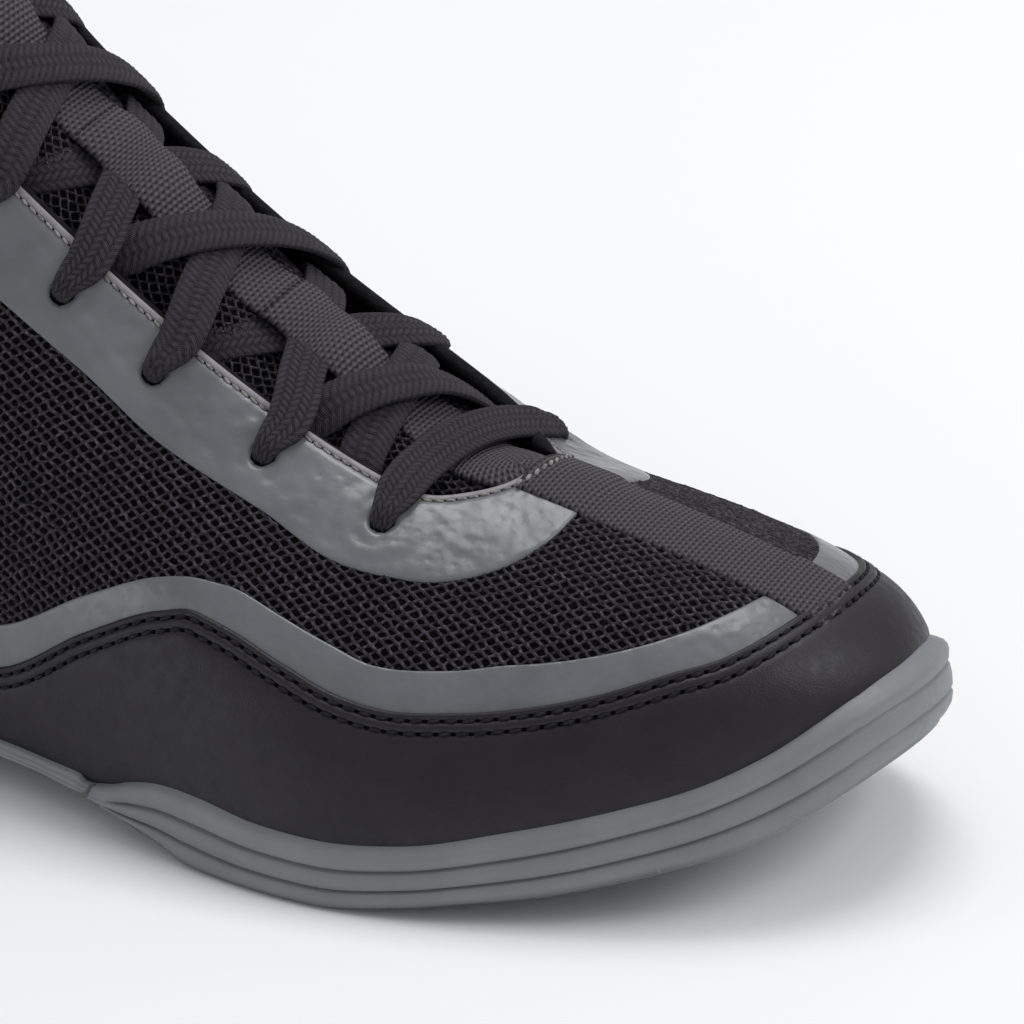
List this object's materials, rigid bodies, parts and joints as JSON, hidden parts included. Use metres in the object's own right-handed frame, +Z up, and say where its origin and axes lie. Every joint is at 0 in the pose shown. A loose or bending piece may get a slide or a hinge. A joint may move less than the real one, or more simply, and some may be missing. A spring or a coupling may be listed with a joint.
{
  "type": "boxing shoe",
  "caption": "High lace-up boxing shoe for the right foot, with a hollow mesh upper, a tongue, crossed flat laces and a thin grooved rubber sole.",
  "frame": {"origin": "middle of the footprint, on the floor plane the sole stands on", "axes": "+X towards the toe, +Y towards the inner (medial) side of the foot, +Z up"},
  "size_m": [0.2864, 0.1008, 0.1824],
  "materials": {
    "rubber_grey": "satin",
    "insole_black": "matt",
    "mesh_black": "matt",
    "tongue_black": "matt",
    "lace_charcoal": "matt"
  },
  "bodies": {
    "root": {"outsole": "rubber_grey", "insole": "insole_black", "upper": "mesh_black", "tongue": "tongue_black", "lace_bar": "lace_charcoal", "lace_cross_1": "lace_charcoal", "lace_cross_2": "lace_charcoal", "lace_cross_3": "lace_charcoal", "lace_cross_4": "lace_charcoal", "lace_cross_5": "lace_charcoal", "lace_cross_6": "lace_charcoal", "lace_cross_7": "lace_charcoal"}
  },
  "joints": []
}
